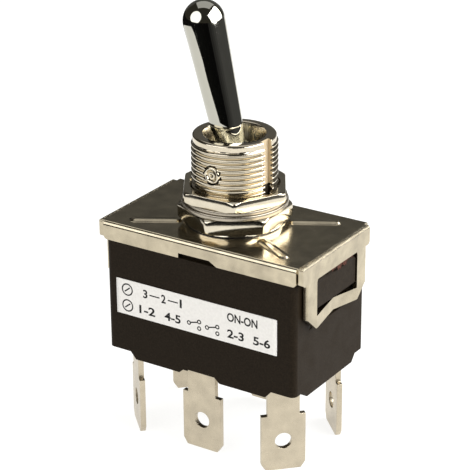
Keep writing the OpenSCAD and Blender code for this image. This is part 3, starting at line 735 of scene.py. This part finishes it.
# Radius and distance from the switch's middle in millimetres.
half_end = np.array([
    (0.0, 5.44), (0.10, 5.46), (0.20, 5.60), (0.27, 5.745), (0.40, 5.765), (0.50, 5.74), (0.56, 5.62),
    (0.64, 5.50), (0.72, 5.56), (0.80, 5.78), (0.88, 5.87), (0.98, 5.885), (1.08, 5.86), (1.16, 5.78),
    (1.20, 5.66), (1.20, 5.50), (1.06, 5.46), (1.05, 5.30),
]) * MM
pin_profile = np.vstack([half_end, half_end[::-1] * (1, -1)])
across, up, along = np.moveaxis(turned(pin_profile, 72), -1, 0)
pin_points = np.stack([across, along, up + pivot[2]], axis=-1)
deliver(surface("staked_pin", pin_points), nickel_nut, "case", ["lever_pin"], 40)

# %% [markdown]
# ## Nuts
#
# A hexagon nut is a hexagon bar faced off with a chamfer that takes its corners
# down, so each flat ends in a curve. Two solids could be intersected for that.
# As a surface it is one formula: the radius is the flat's distance over the
# cosine of the angle from its middle, and the chamfer lowers the face where
# that radius passes the facing circle. The number beside each nut's name is the
# angle, in degrees, at which a flat's middle lies once the nut is tight.

# %% Nuts
NUT_FLATS, NUT_BORE = 14.0 * MM, 6.02 * MM
NUT_COLUMNS = 240
FACING, FACING_SLOPE = 7.55 * MM, math.tan(math.radians(30))
WORN_CORNER, SOFT_EDGE = 0.10 * MM, 0.09 * MM
FACE_RING, BORE_CHAMFER = 0.5 * MM, 0.3 * MM


def nut_grid(low, high, turn):
    """A closed section at each angle: up the flat, over the chamfer and face, down the bore and back."""
    angles = np.linspace(0, 2 * math.pi, NUT_COLUMNS, endpoint=False)
    sixth = math.pi / 3
    off_middle = (angles + sixth / 2) % sixth - sixth / 2
    flat = np.minimum(NUT_FLATS / 2 / np.cos(off_middle), NUT_FLATS / math.sqrt(3) - WORN_CORNER)
    drop = np.maximum(flat - FACING, 0) * FACING_SLOPE
    eased = drop * (1 - SOFT_EDGE / (drop + SOFT_EDGE))
    third = 0.3 * SOFT_EDGE
    rim = np.minimum(flat - SOFT_EDGE, FACING)
    level = 0 * drop
    mouth, bore = NUT_BORE + BORE_CHAMFER + level, NUT_BORE + level
    top, foot = high + level, low + level
    rows = [
        (flat, low + drop + SOFT_EDGE), (flat, high - drop - SOFT_EDGE),
        (flat - third, high - drop - third), (flat - SOFT_EDGE, high - eased),
        (rim, top), (rim - FACE_RING, top), (mouth, top), (bore, top - BORE_CHAMFER),
        (bore, foot + BORE_CHAMFER), (mouth, foot), (rim - FACE_RING, foot), (rim, foot),
        (flat - SOFT_EDGE, low + eased), (flat - third, low + drop + third),
    ]
    return np.stack([ring(angles + turn, r, z) for r, z in rows])


for node, turn in (("back_nut", 63), ("front_nut", 32)):
    low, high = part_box(node)
    grid = nut_grid(low[2], high[2], math.radians(turn))
    nut = surface(node + "_turned", grid, wrap_along=True)
    deliver(nut, nickel_nut, "case", [node], 25)

# %% [markdown]
# ## Washers
#
# Washers are punched from strip. The punch leaves one edge rolled over and the
# other sharp. New flat rings would lose the tongue and the inner teeth that the
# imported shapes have, so a small Bevel on those stands for both edges.

# %% Washers
softened("locating_washer", washer_steel, 0.10)
softened("lock_washer", washer_steel, 0.08)
print("washers softened")

# %% [markdown]
# ## The lever
#
# The lever is one turned bar: a bat with a round tip, a neck, a ball on the
# pivot and a thin stem that carries the inner block. The outline could be drawn
# with a curve object and a Screw modifier. As an array of radius against
# distance along the axis it stays exact, and the round tip meets the taper as a
# true tangent, so that the reflections run on without a break. The grid is
# then leaned by the rest angle about the pivot.

# %% Rest angle
stem_axis = joints["front_plunger_slide"]["axis"]
LEAN = math.atan2(stem_axis[0], stem_axis[2])


def leaned(points):
    """Points in the lever's own frame, turned about Y by the rest angle and set on the pivot."""
    x, y, z = points[..., 0], points[..., 1], points[..., 2]
    out_x = x * math.cos(LEAN) + z * math.sin(LEAN) + pivot[0]
    out_z = z * math.cos(LEAN) - x * math.sin(LEAN) + pivot[2]
    return np.stack([out_x, y + pivot[1], out_z], axis=-1)


print("rest angle in degrees", round(math.degrees(LEAN), 2))

# %% Lever
# All in millimetres: radii, and distances from the pivot along the lever.
TIP_RADIUS, BAT_FOOT, BAT_START, BAT_END = 2.9, 2.25, 5.1, 23.0
tip_centre = BAT_END - TIP_RADIUS
taper = math.atan((TIP_RADIUS - BAT_FOOT) / (tip_centre - BAT_START))
tip_arc = np.linspace(-taper, math.pi / 2, 40)
tip = np.stack([TIP_RADIUS * np.cos(tip_arc), tip_centre + TIP_RADIUS * np.sin(tip_arc)], axis=-1)
tip[-1, 0] = 0.0
BALL, NECK, STEM = 3.55, 2.1, 1.25
ball_arc = np.linspace(-math.acos(STEM / BALL), math.acos(NECK / BALL), 40)
ball = np.stack([BALL * np.cos(ball_arc), BALL * np.sin(ball_arc)], axis=-1)
stem = np.array([(0, -17.8), (STEM - 0.2, -17.8), (STEM, -17.5), (STEM, -10.0)])
neck = np.array([(NECK, 3.4), (NECK, 4.9), (NECK + 0.02, BAT_START - 0.02), (BAT_FOOT - 0.07, BAT_START),
                 (BAT_FOOT - 0.02, BAT_START + 0.02), (BAT_FOOT, BAT_START + 0.09)])
bat = np.linspace(neck[-1], tip[0], 14)[1:-1]
lever_profile = np.vstack([stem, ball, neck, bat, tip]) * MM
lever_piece = surface("bat_lever", leaned(turned(lever_profile, 128)))
print("lever profile points", len(lever_profile))

# %% [markdown]
# ## The lever's cross hole
#
# The pin runs through the ball. A hole across a turned piece doesn't follow its
# grid, so here a Boolean is the right tool. It is applied at once, because the
# piece is welded and shaded again after it.


# %% Drill the lever for its pin
def drilled(piece, radius, centre, length):
    """Takes a cylinder along Y out of a piece, as a cross drill would."""
    angles = np.linspace(0, 2 * math.pi, 48, endpoint=False)
    ends = np.array([(0, -length), (radius, -length), (radius, length), (0, length)])
    across, up, along = np.moveaxis(ring(angles[None, :], ends[:, :1], ends[:, 1:2]), -1, 0)
    tool = surface("drill", np.stack([across, -along, up], axis=-1) + centre)
    weld(tool.data)
    cut = piece.modifiers.new("cut", "BOOLEAN")
    cut.operation = "DIFFERENCE"
    cut.solver = "EXACT"
    cut.object = tool
    graph = bpy.context.evaluated_depsgraph_get()
    drilled_mesh = bpy.data.meshes.new_from_object(piece.evaluated_get(graph))
    piece.modifiers.clear()
    piece.data = drilled_mesh
    bpy.data.objects.remove(tool)
    return piece


HOLE_RADIUS, DRILL_REACH = 1.08 * MM, 6 * MM
weld(lever_piece.data)
drilled(lever_piece, HOLE_RADIUS, pivot, DRILL_REACH)
deliver(lever_piece, chrome, "lever_body", ["lever"], 30)

# %% [markdown]
# ## The pressed frame and the moulded case
#
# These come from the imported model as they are, with their edges rounded. Only
# the frame's four stiffening ribs change on its copy. A press that is set for
# thin sheet leaves them narrow and low, with a level crest, and each then
# reflects as a bright line, a dark one and a bright one. So their points move
# towards the middle line, and their heights become a plateau.

# %% Frame, case and insulator
RIB_TURN = 29.8
RIB_ANGLES = np.radians([RIB_TURN, 180 - RIB_TURN, 180 + RIB_TURN, 360 - RIB_TURN])
RIB_START, RIB_END, RIB_HALF = 8.2 * MM, 13.9 * MM, 1.3 * MM
CREST, SHOULDER_WIDTH = 0.48, 0.44
SHEET_SKIN, OVER_SHEET = 0.02 * MM, 0.004 * MM


def settle_ribs(mesh, narrow, height):
    """A rib's points go towards its middle line by the factor narrow, and a smooth step is their height."""
    points = np.empty(len(mesh.vertices) * 3)
    mesh.vertices.foreach_get("co", points)
    points = points.reshape(-1, 3)
    flat, lift = points[:, :2].copy(), points[:, 2] - panel_z
    for angle in RIB_ANGLES:
        along = np.array([math.cos(angle), math.sin(angle)])
        middle = np.clip(flat @ along, RIB_START, RIB_END)[:, None] * along[None, :]
        off = flat - middle
        share = np.hypot(off[:, 0], off[:, 1]) / RIB_HALF
        on_rib = (share < 1.02) & (lift > -SHEET_SKIN)
        shoulder = np.clip((share - CREST) / SHOULDER_WIDTH, 0, 1)
        plateau = panel_z + OVER_SHEET + height * (1 - shoulder * shoulder * (3 - 2 * shoulder))
        points[:, :2] = np.where(on_rib[:, None], middle + narrow * off, points[:, :2])
        points[:, 2] = np.where(on_rib & (lift > 0), plateau, points[:, 2])
        was_high = round(float(lift[on_rib].max()) / MM, 2)
        print("rib at", round(math.degrees(angle)), "points", int(on_rib.sum()), "was high", was_high)
    mesh.vertices.foreach_set("co", points.reshape(-1))
    mesh.update()


frame_piece = softened("top_frame", nickel_sheet, 0.13, 3)
settle_ribs(frame_piece.data, 0.74, 0.26 * MM)
worn_fold(nickel_sheet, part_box("top_frame")[1][0], panel_z)
softened("housing", phenolic, 0.12, 2)
softened("insulator", fibre, 0.05, 1)
print("frame and case softened")

# %% [markdown]
# ## Tabs
#
# Each terminal is blanked from nickel-plated brass strip. The blank's front
# edge is rolled a little by the die, and its tip is chamfered to guide a
# receptacle on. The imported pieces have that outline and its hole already, so
# only the rolled edge is added, by a Bevel that is as wide as the roll.

# %% Terminals
terminals = sorted(n for n in nodes if "terminal" in n)
for node in terminals:
    softened(node, tab_nickel, 0.13, 3)
print("terminals", len(terminals))

# %% [markdown]
# ## Inner pieces
#
# The contacts, rockers, plungers and block can't be seen on a whole switch.
# They could be left plain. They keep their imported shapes, with a rounded edge
# and the right metal, so that a cutaway looks right too.

# %% Contacts, rockers, plungers and block
for node in sorted(n for n in nodes if n.startswith("fixed_contact") or n.startswith("rocker_contacts")):
    softened(node, bare_silver, 0.05)
for node in ("rocker_front", "rocker_back"):
    softened(node, bare_copper, 0.08)
for node in ("plunger_front", "plunger_back"):
    softened(node, nickel_turned, 0.05)
softened("actuator", nylon, 0.15)

# %% [markdown]
# ## Springs
#
# The imported springs are stacks of rings, which is enough for their weight and
# place. A real one is wire wound along a helix whose pitch closes up at both
# ends. A Screw modifier winds an even pitch only, so the helix is a formula
# here.

# %% Springs
COIL, WIRE = 0.95 * MM, 0.16 * MM
SPRING_TURNS, SPRING_ROWS, WIRE_SIDES = 6.5, 260, 10
CLOSED_ENDS = 0.75


def spring_grid(foot_z, head_z, side_y):
    """A circle as thick as the wire along a helix whose height eases in and out: its ends lie flat."""
    along = np.linspace(0, 1, SPRING_ROWS)
    eased = along - np.sin(2 * math.pi * along) / (2 * math.pi) * CLOSED_ENDS
    turn = 2 * math.pi * SPRING_TURNS * along
    height = foot_z + WIRE + (head_z - foot_z - 2 * WIRE) * eased
    round_wire = np.linspace(0, 2 * math.pi, WIRE_SIDES, endpoint=False)
    fat = np.where((along > 0) & (along < 1), 1.0, 0.0)[:, None]
    reach = COIL + WIRE * fat * np.cos(round_wire)[None, :]
    return np.stack([reach * np.cos(turn)[:, None], side_y + reach * np.sin(turn)[:, None],
                     height[:, None] + WIRE * fat * np.sin(round_wire)[None, :]], axis=-1)


SPRING_FOOT, SPRING_HEAD = -16.58 * MM, -13.42 * MM
for side in ("front", "back"):
    node = "spring_" + side
    low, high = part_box(node)
    middle_y = (low[1] + high[1]) / 2
    coil = surface(node + "_wound", leaned(spring_grid(SPRING_FOOT, SPRING_HEAD, middle_y)))
    deliver(coil, spring_steel, "lever_body", [node], 60)
    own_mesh(coil)

# %% [markdown]
# ## The label
#
# The label is a thin white film on the front of the case, printed in black. Its
# print here is only what any such switch could carry: the two positions, a
# contact diagram and the terminals' numbers. A picture of it would blur close
# up. So letters come from text objects turned into meshes, and lines are flat
# strips. Both lie a hair above the film.

# %% Label film
label_low, label_high = (np.array(c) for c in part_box("front_label"))
LABEL_ROWS, LABEL_COLUMNS = 25, 41
LABEL_CORNER = 0.06 * MM


def label_grid():
    """A flat film, each row drawn in near the top and bottom by a circle's fall from its tangent."""
    height = np.linspace(0, 1, LABEL_ROWS)
    width = np.linspace(-1, 1, LABEL_COLUMNS)
    half = (label_high[0] - label_low[0]) / 2
    middle = (label_high[0] + label_low[0]) / 2
    z = label_low[2] + (label_high[2] - label_low[2]) * (0.5 - 0.5 * np.cos(math.pi * height))
    past = np.maximum(LABEL_CORNER - np.minimum(z - label_low[2], label_high[2] - z), 0)
    inset = LABEL_CORNER - np.sqrt(np.maximum(LABEL_CORNER**2 - past**2, 0))
    x = middle + (half - inset)[:, None] * width[None, :]
    return np.stack([x, label_low[1] + 0 * x, z[:, None] + 0 * x], axis=-1)


film = surface("label_film_sheet", label_grid(), wrap_round=False)
thickness = film.modifiers.new("thickness", "SOLIDIFY")
thickness.thickness = label_high[1] - label_low[1]
thickness.offset = -1.0
deliver(film, label_film, "case", ["front_label"])

# %% Label print
INK_Y = label_low[1] - 0.006 * MM
LETTER_WEIGHT = 0.026


def printed(mesh, name):
    """A flat mesh in the XY plane, stood up on the label with X to the right and Y up."""
    mesh.transform(Matrix.Translation((0, INK_Y, 0)) @ Matrix.Rotation(math.pi / 2, 4, "X"))
    piece = bpy.data.objects.new(name, mesh)
    bpy.context.collection.objects.link(piece)
    mesh.materials.clear()
    mesh.materials.append(label_ink)
    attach(piece, "case")
    return piece


def word(text, name, left_mm, base_mm, height_mm, width_mm):
    """Text as a mesh, fitted to a height and width in millimetres, with its lower left corner at a place."""
    curve = bpy.data.curves.new(name, "FONT")
    curve.body = text
    curve.offset = LETTER_WEIGHT
    holder = bpy.data.objects.new(name + "_text", curve)
    bpy.context.collection.objects.link(holder)
    mesh = bpy.data.meshes.new_from_object(holder.evaluated_get(bpy.context.evaluated_depsgraph_get()))
    bpy.data.objects.remove(holder)
    points = np.empty(len(mesh.vertices) * 3)
    mesh.vertices.foreach_get("co", points)
    points = points.reshape(-1, 3)
    low, high = points.min(0), points.max(0)
    points[:, 0] = (left_mm + (points[:, 0] - low[0]) / (high[0] - low[0]) * width_mm) * MM
    points[:, 1] = panel_z + (base_mm + (points[:, 1] - low[1]) / (high[1] - low[1]) * height_mm) * MM
    points[:, 2] = 0
    mesh.vertices.foreach_set("co", points.reshape(-1))
    return printed(mesh, name)


# %% Words and numbers
# Millimetres: rows are heights over the frame's top face, left edges are from the switch's middle.
CAP_MM, PAIR_MM = 1.3, 2.7
ROW_ONE, ROW_TWO = -10.25, -12.75
word("ON-ON", "print_positions", 4.8, ROW_ONE, CAP_MM, 4.9)
for i, (text, left) in enumerate([("1-2", -9.9), ("4-5", -5.6), ("2-3", 4.8), ("5-6", 9.0)]):
    word(text, f"print_pair_{i}", left, ROW_TWO, CAP_MM, PAIR_MM)
for i, (text, left, width) in enumerate((("3", -9.2, 0.75), ("2", -6.1, 0.75), ("1", -3.0, 0.35))):
    word(text, f"print_number_{i}", left, ROW_ONE, CAP_MM, width)
print("label top and bottom in mm", [round((z - panel_z) / MM, 2) for z in (label_high[2], label_low[2])])


# %% Lines and rings
def stroke(name, points_mm, width_mm):
    """A flat strip along straight lines: each point is moved half the width to both sides of the line."""
    path = np.array(points_mm, float)
    run = np.gradient(path, axis=0)
    run /= np.linalg.norm(run, axis=1)[:, None]
    across = np.stack([-run[:, 1], run[:, 0]], axis=-1) * width_mm / 2
    grid = np.stack([path - across, path + across], axis=1)
    grid = np.concatenate([grid, 0 * grid[..., :1]], axis=-1) * MM
    grid[..., 1] += panel_z
    strip = surface(name, grid, wrap_round=False)
    mesh = strip.data
    bpy.data.objects.remove(strip)
    return printed(mesh, name)


def loop(name, centre_mm, radius_mm, width_mm):
    """A thin ring: points at one radius from a centre, joined by a closed stroke."""
    turn = np.linspace(0, 2 * math.pi, 33)
    circle = np.stack([np.cos(turn), np.sin(turn)], axis=-1)
    return stroke(name, np.array(centre_mm) + radius_mm * circle, width_mm)


SIGN_X, SIGN_RADIUS, SIGN_LINE = -11.9, 0.85, 0.20
BAR_X, BAR_Z = 0.45, 0.35
for i, z in enumerate((-9.65, -12.1)):
    loop(f"print_ring_{i}", (SIGN_X, z), SIGN_RADIUS, SIGN_LINE)
    stroke(f"print_bar_{i}", [(SIGN_X - BAR_X, z - BAR_Z), (SIGN_X + BAR_X, z + BAR_Z)], SIGN_LINE)

# %% Contact diagram
DOT_RADIUS, DOT_LINE, BLADE_LINE = 0.26, 0.17, 0.19
SYMBOL_Z, THROW_X, THROW_Z = -12.1, 1.7, 0.5
for i, left in enumerate((-1.5, 1.5)):
    loop(f"print_common_{i}", (left, SYMBOL_Z), DOT_RADIUS, DOT_LINE)
    for side in (-1, 1):
        throw = (left + THROW_X, SYMBOL_Z + THROW_Z * side)
        loop(f"print_throw_{i}_{(side + 1) // 2}", throw, DOT_RADIUS, DOT_LINE)
    stroke(f"print_blade_{i}", [(left + 0.2, SYMBOL_Z + 0.08), (left + 1.5, SYMBOL_Z + 0.4)], BLADE_LINE)
LINK_Z = ROW_ONE + CAP_MM / 2
for i, left in enumerate((-8.1, -5.0)):
    stroke(f"print_link_{i}", [(left, LINK_Z), (left + 1.7, LINK_Z)], BLADE_LINE)

# %% [markdown]
# ## Loose fibre at the windows
#
# The insulating sheet is sheared, not moulded, so its ends are hairy, and where
# the frame grips the case a few tufts show at the top of each window. A ragged
# skirt would do from far off. Here it is a strip whose lower edge is a sum of
# uneven sines, so that it hangs down in tufts of different widths.

# %% Fibre tufts
TUFT_HALF, TUFT_COLUMNS, TUFT_ROWS = 4.6, 240, 9
TUFT_MIDDLE, TUFT_SPREAD = 1.0, 2.7
TUFT_TOP, TUFT_FACE, TUFT_BULGE = -2.52, 16.38, 0.19


def tuft_grid(side):
    """A strip in millimetres along Y: its edge drops by sines of uneven pitch, fullest round its middle."""
    y = np.linspace(-TUFT_HALF, TUFT_HALF, TUFT_COLUMNS)[None, :]
    down = np.linspace(0, 1, TUFT_ROWS)[:, None]
    rag = 0.60 + 0.20 * np.sin(3.7 * y + 0.4) + 0.16 * np.sin(8.3 * y + 1.9) + 0.08 * np.sin(19.7 * y + side)
    fullness = 0.15 + 1.10 * np.exp(-((y - TUFT_MIDDLE) / TUFT_SPREAD) ** 2)
    z = TUFT_TOP - down * np.clip(rag * fullness, 0.05, 1.15)
    x = TUFT_FACE + TUFT_BULGE * np.sqrt(down) + 0.02 * down * np.sin(8.1 * y)
    return np.stack([side * x, y + 0 * x, z], axis=-1) * MM + np.array([0, 0, panel_z])


for side, name in ((1, "right"), (-1, "left")):
    tuft = surface("fibre_tuft_" + name, tuft_grid(side), wrap_round=False)
    body = tuft.modifiers.new("thickness", "SOLIDIFY")
    body.thickness = 0.08 * MM
    body.offset = 0.0
    deliver(tuft, fibre, "case")
